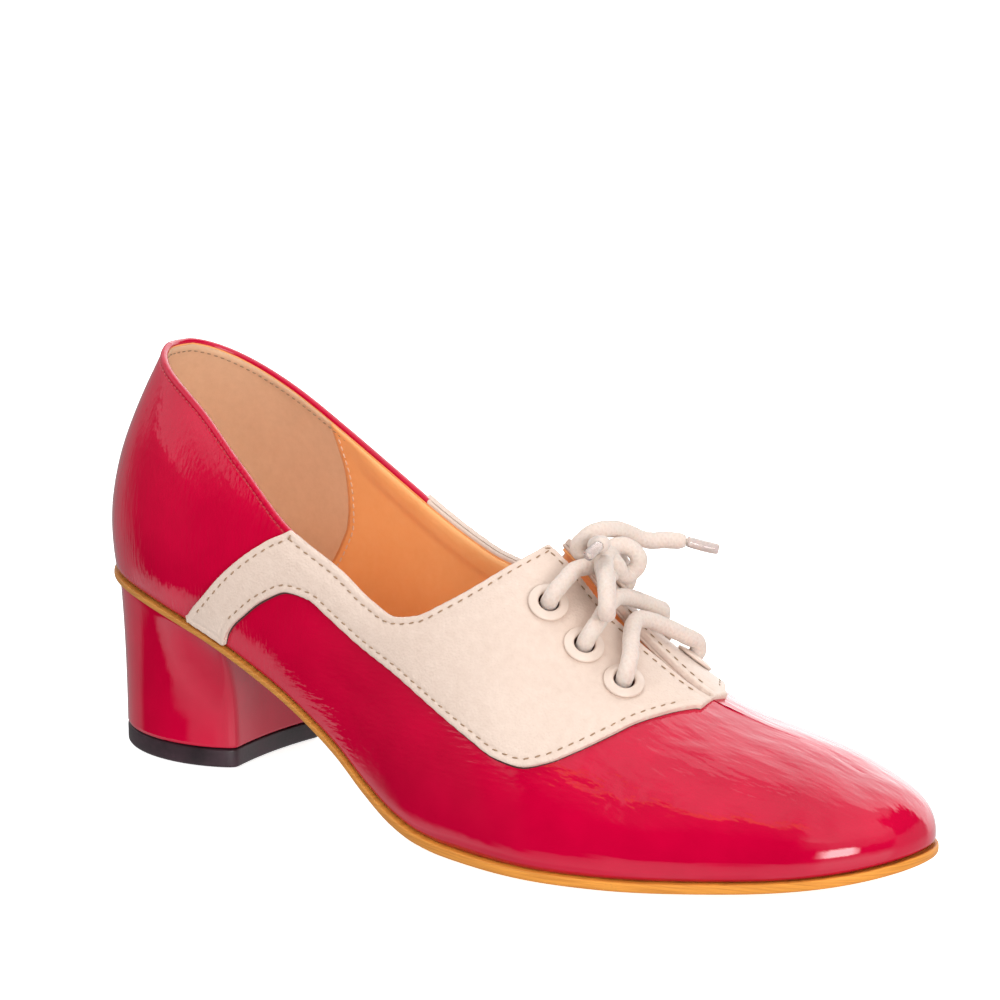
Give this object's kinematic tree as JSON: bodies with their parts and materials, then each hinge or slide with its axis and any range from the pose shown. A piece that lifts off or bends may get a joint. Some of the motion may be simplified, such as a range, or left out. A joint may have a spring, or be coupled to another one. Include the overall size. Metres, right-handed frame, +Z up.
{
  "type": "lace-up shoe",
  "caption": "Right lace-up court shoe with a block heel: patent leather upper, pale saddle overlays with round eyelets, cotton lace tied in a bow.",
  "frame": {"origin": "on the floor, at the centre of the shoe's footprint box", "axes": "+X from the heel to the toe, +Y to the inner (medial) side, +Z up"},
  "size_m": [0.2451, 0.0806, 0.109],
  "materials": {
    "patent_red": "patent, high gloss",
    "patent_heel": "patent, high gloss, wrapped over the heel",
    "pale_leather": "smooth, satin",
    "tan_leather": "waxed sole edge",
    "sock_leather": "smooth lining leather",
    "dark_rubber": "matt",
    "enamel": "gloss enamel",
    "cotton": "braided round cord",
    "clear_tip": "clear film"
  },
  "bodies": {
    "root": {"outsole": "tan_leather", "heel_block": "patent_heel", "top_lift": "dark_rubber", "upper": "patent_red", "insole": "sock_leather", "saddle_lateral": "pale_leather", "saddle_medial": "pale_leather", "eyelet_lateral_1": "enamel", "eyelet_lateral_2": "enamel", "eyelet_lateral_3": "enamel", "eyelet_medial_1": "enamel", "eyelet_medial_2": "enamel", "eyelet_medial_3": "enamel", "lace_bar_2": "cotton", "lace_bar_3": "cotton", "lace_run_lateral": "cotton", "lace_run_medial": "cotton", "lace_end_left": "cotton", "lace_end_right": "cotton", "lace_bow": "cotton", "lace_tip_left": "clear_tip", "lace_tip_right": "clear_tip"}
  },
  "joints": []
}
